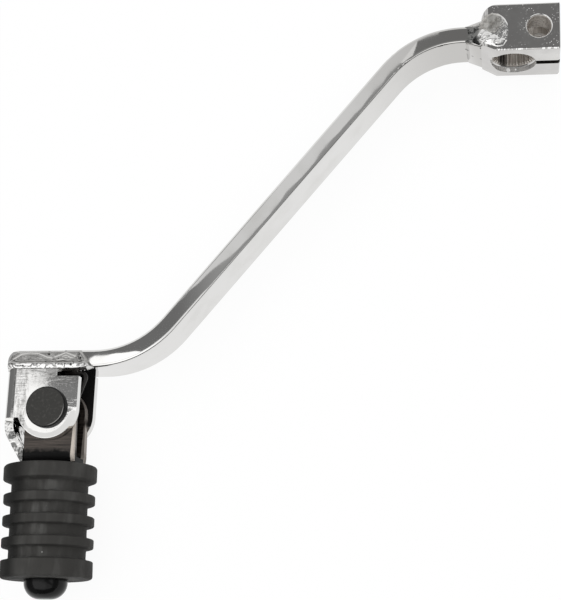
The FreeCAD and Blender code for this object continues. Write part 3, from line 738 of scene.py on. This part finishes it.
# weld between the bracket's cheeks and the end of the bar, above and below
# wander, swell and lumps are (scale, height)
tipWeld = {
    "step": 0.13, "foot": 6.3, "level": 7.78, "barTop": 7.0, "sink": 0.1, "feather": 0.7, "seed": 11,
    "ridge": 1.15, "ridgeBack": -93.9, "ridgeRun": 1.15, "crest": -95.05, "frontFall": 0.16,
    "grooveDepth": 0.17, "grooveWidth": 0.2, "wander": (0.4, 0.3), "swell": (0.35, 0.07),
    "lumps": [(0.9, 0.2), (1.9, 0.12)], "lumpRun": 0.6,
    "outline": [(-140.9, -97.1), (-141.0, -94.2), (-140.0, -92.2), (-138.0, -91.1), (-119.6, -90.95),
                (-115.7, -96.0), (-117.5, -96.6), (-120.5, -97.0)],
    "lowerOutline": [(-140.9, -97.1), (-141.0, -94.2), (-140.0, -92.2), (-138.0, -91.1), (-123.0, -90.95),
                     (-121.4, -96.9)],
    "grooves": [[(-139.2, -93.8), (-136.8, -92.4), (-134.5, -92.0), (-132.0, -92.2), (-129.6, -93.2),
                 (-127.8, -93.6)],
                [(-127.0, -93.3), (-123.9, -92.0), (-121.1, -93.1), (-124.3, -93.9), (-126.9, -94.3)],
                [(-125.0, -93.0), (-123.6, -92.8), (-122.8, -93.2), (-124.2, -93.4)],
                [(-119.9, -91.2), (-120.2, -92.6), (-119.4, -94.2), (-119.8, -95.4)]]}


def tipHeap(outline, x, y, seed):
    spot = Vector((x, y, seed))
    wanderScale, wanderReach = tipWeld["wander"]
    swellScale, swellHeight = tipWeld["swell"]
    wander = noise.noise(Vector((x * wanderScale, 0, seed))) * wanderReach
    level = tipWeld["level"]
    level += tipWeld["ridge"] * smoothStep((tipWeld["ridgeBack"] + wander - y) / tipWeld["ridgeRun"])
    level -= tipWeld["frontFall"] * max(0.0, tipWeld["crest"] + wander - y) ** 2
    level += noise.noise(spot * swellScale) * swellHeight
    rough = smoothStep((tipWeld["ridgeBack"] - y) / tipWeld["lumpRun"])
    level += rough * sum(noise.noise(spot * scale) * height for scale, height in tipWeld["lumps"])
    for groove in tipWeld["grooves"]:
        level -= tipWeld["grooveDepth"] * hump(lineGap(groove, x, y), tipWeld["grooveWidth"])
    ground = tipWeld["barTop"] - tipWeld["sink"]
    return ground + (level - ground) * smoothStep(depthIn(outline, x, y) / tipWeld["feather"])


def layTipWeld(level, side):
    outline = tipWeld["outline"] if side > 0 else tipWeld["lowerOutline"]
    seed = tipWeld["seed"] + side
    shape = heap(outline, tipWeld["step"], tipWeld["foot"], lambda x, y: tipHeap(outline, x, y, seed))
    if side < 0:
        bmesh.ops.scale(shape, vec=(1, 1, -1), verts=shape.verts)
        bmesh.ops.reverse_faces(shape, faces=shape.faces)
    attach(settle(level + "_tip_weld", shape, weldPlate, level + "_bracket_weld"), "lever")


layTipWeld("upper", 1)
layTipWeld("lower", -1)
print("welds laid")

# torsion spring: close coils round the pin, a hook under the bar and a leg on the peg
spring = {"wire": 0.6, "coil": 4.95, "pitch": 1.22, "low": -1.546, "high": 2.046, "start": 1.8, "end": -20.0,
          "turns": 3, "leg": 13.0, "hookRadius": 1.5, "hookLine": -96.5, "hookRun": 4.5, "hookSteps": 14,
          "steps": 72, "sides": 14, "dome": 0.25, "twistTop": 1.6, "twistFoot": -1.3}


def springPath():
    radius = spring["coil"]
    slope = spring["pitch"] / (2 * math.pi * radius)
    first = math.radians(spring["start"])
    whole = math.radians(360 * spring["turns"] + spring["end"] - spring["start"])
    count = spring["turns"] * spring["steps"]
    points = []
    for step in range(count + 1):
        angle = first + whole * step / count
        height = spring["low"] + (spring["high"] - spring["low"]) * step / count
        out = Vector((math.cos(angle), math.sin(angle), 0)) * radius
        points.append(Vector((pivot.x, pivot.y, height)) + out)
    foot = points[0] - Vector((-math.sin(first), math.cos(first), slope)) * spring["leg"]
    points.insert(0, foot)
    ahead = Vector((-math.sin(angle), math.cos(angle), slope)).normalized()
    inward = Vector((-ahead.y, ahead.x, 0)).normalized()
    turn = math.pi / 2 + math.atan2(ahead.x, ahead.y)

    def alongHook(bend):
        return (inward * (1 - math.cos(bend)) + ahead * math.sin(bend)) * spring["hookRadius"]

    leg = (spring["hookLine"] - points[-1].y - alongHook(turn).y) / ahead.y
    start = points[-1] + ahead * leg
    for step in range(spring["hookSteps"] + 1):
        points.append(start + alongHook(turn * step / spring["hookSteps"]))
    points.append(points[-1] + (ahead * math.cos(turn) + inward * math.sin(turn)) * spring["hookRun"])
    return points


def tube(points, radius, sides, dome):  # a round wire with slightly domed ends
    shape = bmesh.new()
    rings = []
    across = Vector((0, 0, 1))
    for index, point in enumerate(points):
        ahead = (points[min(index + 1, len(points) - 1)] - points[max(index - 1, 0)]).normalized()
        across = (across - ahead * across.dot(ahead)).normalized()
        up = ahead.cross(across)
        rings.append([shape.verts.new(point + (across * math.cos(a) + up * math.sin(a)) * radius)
                      for a in (2 * math.pi * side / sides for side in range(sides))])
    for first, second in zip(rings, rings[1:]):
        bridge(shape, first, second)
    for ring, inner, outer in ((rings[0], points[1], points[0]), (rings[-1], points[-2], points[-1])):
        tip = shape.verts.new(outer + (outer - inner).normalized() * radius * dome)
        for side in range(sides):
            shape.faces.new((ring[side], ring[(side + 1) % sides], tip))
    bmesh.ops.recalc_face_normals(shape, faces=shape.faces)
    return shape


coils = tube(springPath(), spring["wire"], spring["sides"], spring["dome"])
piece = settle("return_spring", coils, springSteel, "torsion_spring")
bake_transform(piece)
print("spring wound")

# toe rubber: wide flange at the bracket, three ribs and an end flange
toe = {"start": 15.3, "length": 31.0, "bore": 4.1, "flange": 13.0, "crest": 12.7, "groove": 10.7,
       "innerFlange": 5.0, "rib": 3.2, "gap": 2.8, "ribs": 3, "flangeDraft": 0.9, "ribDraft": 0.4,
       "edge": 0.4, "root": 0.7, "flangeEdge": 0.8, "arcSteps": 5, "turns": 200, "longest": 0.7,
       "uneven": 0.06, "unevenScale": 0.22, "skin": 0.02, "skinScale": 1.3, "looseRun": 4,
       "offset": -1.1, "lean": 1.8}


def toeOutline():  # (radius, reach from the pivot, corner radius)
    corners = [(toe["bore"], toe["start"], 0), (toe["flange"], toe["start"], toe["flangeEdge"])]
    reach, crest, draft = toe["start"] + toe["innerFlange"], toe["flange"], toe["flangeDraft"]
    for groove in range(toe["ribs"] + 1):
        end = reach + toe["gap"]
        corners += [(crest, reach - draft, toe["edge"]), (toe["groove"], reach, toe["root"]),
                    (toe["groove"], end, toe["root"]), (toe["crest"], end + toe["ribDraft"], toe["edge"])]
        reach, crest, draft = end + toe["rib"], toe["crest"], toe["ribDraft"]
    foot = toe["start"] + toe["length"]
    return corners + [(toe["crest"], foot, toe["flangeEdge"]), (toe["bore"], foot, 0)]


def rounded(corners, steps):  # the outline's points, with each corner's arc
    points = []
    for index, (a, b, radius) in enumerate(corners):
        corner = Vector((a, b))
        if not radius:
            points.append(corner)
            continue
        back = (Vector(corners[index - 1][:2]) - corner).normalized()
        ahead = (Vector(corners[index + 1][:2]) - corner).normalized()
        half = back.angle(ahead) / 2
        centre = corner + (back + ahead).normalized() * (radius / math.sin(half))
        start = corner + back * (radius / math.tan(half)) - centre
        end = corner + ahead * (radius / math.tan(half)) - centre
        for step in range(steps + 1):
            points.append(centre + start.lerp(end, step / steps).normalized() * radius)
    return points


def divided(points, longest):  # no run longer than this, so that the skin can be uneven
    full = [points[0]]
    for point in points[1:]:
        count = max(1, math.ceil((point - full[-1]).length / longest))
        start = full[-1]
        full += [start.lerp(point, step / count) for step in range(1, count + 1)]
    return full


def mouldedToe():
    shape = bmesh.new()
    rings = []
    for radius, reach in divided(rounded(toeOutline(), toe["arcSteps"]), toe["longest"]):
        ring = []
        for turn in range(toe["turns"]):
            angle = 2 * math.pi * turn / toe["turns"]
            out = Vector((math.cos(angle), 0, math.sin(angle)))
            spot = Vector((pivot.x + toe["offset"], pivot.y - reach, 0)) + out * radius
            loose = min(1.0, (radius - toe["bore"]) / toe["looseRun"])
            swell = noise.noise(spot * toe["unevenScale"]) * toe["uneven"]
            swell += noise.noise(spot * toe["skinScale"]) * toe["skin"]
            ring.append(shape.verts.new(spot + out * (swell - toe["uneven"]) * loose))
        rings.append(ring)
    for first, second in zip(rings, rings[1:] + rings[:1]):
        bridge(shape, first, second)
    bmesh.ops.recalc_face_normals(shape, faces=shape.faces)
    lean = Matrix.Rotation(math.radians(toe["lean"]), 3, "Z")
    bmesh.ops.rotate(shape, cent=pivot, matrix=lean, verts=shape.verts)
    return shape


piece = settle("ribbed_toe", mouldedToe(), toeRubber, "toe_rubber")
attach(piece, "peg")
print("toe rubber moulded")

# studio: white floor, one big soft box overhead, and cards that only the shiny metal sees
studio = {"white": grey(1), "floor": grey(0.88), "floorDrop": 0.0005, "floorSize": 6.0, "floorGlow": 0.93,
          "boxHeight": 0.9, "boxSize": 2.0, "boxLevel": 1.4, "roomFill": 0.3, "cardHeight": 0.6}


def seenDirectly(paint):  # 1 for what the camera, a mirror or clear glass looks at
    camera = paint.add("ShaderNodeLightPath", out="Is Camera Ray")
    glossy = paint.add("ShaderNodeLightPath", out="Is Glossy Ray")
    clear = paint.add("ShaderNodeLightPath", out="Is Transmission Ray")
    return paint.add("ShaderNodeMath", {"operation": "ADD", "use_clamp": True},
                     {0: camera + glossy, 1: clear})


def whiteWorld():
    world = bpy.data.worlds.new("room")
    bpy.context.scene.world = world
    paint = Paint(world)
    white = paint.add("ShaderNodeBackground", {}, {"Color": studio["white"], "Strength": 1.0})
    fill = paint.add("ShaderNodeBackground", {}, {"Color": studio["white"], "Strength": studio["roomFill"]})
    paint.finish(paint.add("ShaderNodeMixShader", {}, {0: seenDirectly(paint), 1: fill, 2: white}))


def stageMesh(name, corners, material):
    mesh = bpy.data.meshes.new(name)
    mesh.from_pydata([Vector(c) for c in corners], [], [list(range(len(corners)))])
    piece = bpy.data.objects.new(name, mesh)
    bpy.context.scene.collection.objects.link(piece)
    mesh.materials.append(material)
    return piece


def whiteFloor():
    paint = newPaint("floor_white")
    glow = paint.add("ShaderNodeEmission", {}, {"Color": studio["white"], "Strength": 1.0})
    dull = paint.add("ShaderNodeBsdfDiffuse", {}, {"Color": studio["floor"]})
    share = seenDirectly(paint) * studio["floorGlow"]
    paint.finish(paint.add("ShaderNodeMixShader", {}, {0: share, 1: dull, 2: glow}))
    half = studio["floorSize"] / 2
    level = cadBox[0].z - studio["floorDrop"]
    corners = [(-half, -half, level), (half, -half, level), (half, half, level), (-half, half, level)]
    stageMesh("floor", corners, paint.holder)


def card(name, level, corners, fade=None):  # fade: a second level, and from where to where in x it comes in
    paint = newPaint(name)
    colour = grey(level)
    if fade:
        x = paint.apart(paint.place())[0]
        colour = paint.blend(paint.rise(x, fade[1], fade[2]), colour, grey(fade[0]))
    paint.finish(paint.add("ShaderNodeEmission", {}, {"Color": colour, "Strength": 1.0}))
    piece = stageMesh(name, corners, paint.holder)
    for ray in ("camera", "diffuse", "shadow", "transmission", "volume_scatter"):
        setattr(piece, "visible_" + ray, False)


def overheadCard(name, level, lift, outline, fade=None):  # the lower of two cards is the one that shows
    card(name, level, [(x * mm, y * mm, studio["cardHeight"] + lift) for x, y in outline], fade)


def softBox():
    lamp = bpy.data.lights.new("soft_box", "AREA")
    lamp.shape = "SQUARE"
    lamp.size = studio["boxSize"]
    lamp.energy = studio["boxLevel"] * math.pi * studio["boxSize"] ** 2
    holder = bpy.data.objects.new("soft_box", lamp)
    holder.location = (0, 0, studio["boxHeight"])
    holder.visible_glossy = False  # the cards give the metal its reflections
    bpy.context.scene.collection.objects.link(holder)


whiteWorld()
whiteFloor()
softBox()

# overhead cards: brightness, lift in metres and outline in millimetres
overheadCard("bar_light", 1.5, 0.0, [
    (-320, 43), (-317, 45), (-302, 46.5), (-288, 47), (-281, 46.6), (-274, 50.6), (-266, 56.8), (-258, 65),
    (-250, 75.5), (-243, 84), (-238, 83), (-254, 55), (-270, 40), (-296, 30), (-320, 28)])
overheadCard("weld_shade", 0.2, 0.0005, [(-430, 135), (-300, 105), (-295, 290), (-430, 320)])
overheadCard("diagonal_card", 0.8, 0.001, [
    (-270, 71), (-256, 86), (-239, 101), (-221, 117), (-203, 137), (-186, 157), (-165, 184), (-142, 211),
    (-122, 235), (-104, 257), (-94, 269), (-89, 276), (-82, 279), (-74, 281), (-60, 330), (15, 400),
    (-180, 560), (-560, 260), (-352, 80), (-285, 77)])
overheadCard("cheek_shade", 0.245, 0.002, [(-350, 4), (-318, 4), (-318, 32), (-350, 32)])
overheadCard("cheek_light", 1.35, 0.003, [
    (-420, -60), (-318, -60), (-318, 2), (-352, 2), (-352, 36), (-420, 36)])
overheadCard("weld_top_card", 0.5, 0.004, [(-420, 37), (-329, 37), (-331, 62), (-352, 79), (-420, 130)])
overheadCard("strip_card", 0.19, 0.0045, [(-268, 40), (-225, 60), (-170, 150), (-186, 200), (-268, 120)],
             fade=(0.38, -262, -222))
overheadCard("bend_shade", 0.19, 0.005, [
    (-330, 30), (-225, 60), (-170, 150), (-186, 200), (-285, 90), (-345, 78)])
overheadCard("edge_shade", 0.35, 0.006, [
    (-300, 20), (-107, -60), (0, -110), (300, -340), (700, -560), (842, -497), (20, 180), (-60, 262),
    (-110, 262), (-262, 60)])
overheadCard("clamp_shade", 0.24, 0.007, [(-75, 215), (700, 150), (900, 700), (-20, 480), (-95, 262)])
overheadCard("weld_light", 1.5, 0.008, [
    (-900, -150), (-200, -150), (-40, -230), (120, -330), (120, -900), (-900, -900)])
overheadCard("fold_card", 0.24, 0.01, [
    (-1600, -30), (-425, -30), (-425, 300), (-850, 300), (-850, 720), (-1600, 720)])

# standing cards: brightness and corners in metres
card("front_card", 0.08, [(-0.9, -0.8, 0.0), (1.0, -0.8, 0.0), (1.0, -0.8, 0.45), (-0.9, -0.8, 0.45)])
card("right_card", 0.2, [(0.8, -0.8, 0.0), (0.8, 0.5, 0.0), (0.8, 0.5, 0.6), (0.8, -0.8, 0.6)])
card("left_card", 0.2, [(-0.2, -0.3, -0.012), (-0.2, -0.02, -0.012), (-0.2, -0.02, 0.06), (-0.2, -0.3, 0.06)])
print("studio set")

# camera at the photograph's place, for an image of 561 x 600
shot = {"place": (0.014029, -0.181287, 0.389547), "right": (0.98133, 0.03461, -0.18921),
        "down": (-0.0159, -0.96571, -0.25913), "ahead": (-0.19169, 0.2573, -0.94713),
        "lens": 88.1785, "sensor": 36.0, "clipStart": 0.01, "clipEnd": 50}


def setCamera():
    data = bpy.data.cameras.new("shot")
    data.lens = shot["lens"]
    data.sensor_width = shot["sensor"]
    data.clip_start = shot["clipStart"]
    data.clip_end = shot["clipEnd"]
    holder = bpy.data.objects.new("shot", data)
    bpy.context.scene.collection.objects.link(holder)
    right, down, ahead = Vector(shot["right"]), Vector(shot["down"]), Vector(shot["ahead"])
    turn = Matrix((right, -down, -ahead)).transposed().to_4x4()
    holder.matrix_world = Matrix.Translation(shot["place"]) @ turn
    bpy.context.scene.camera = holder


setCamera()
bpy.context.scene.view_settings.view_transform = "Standard"
print("scene ready")
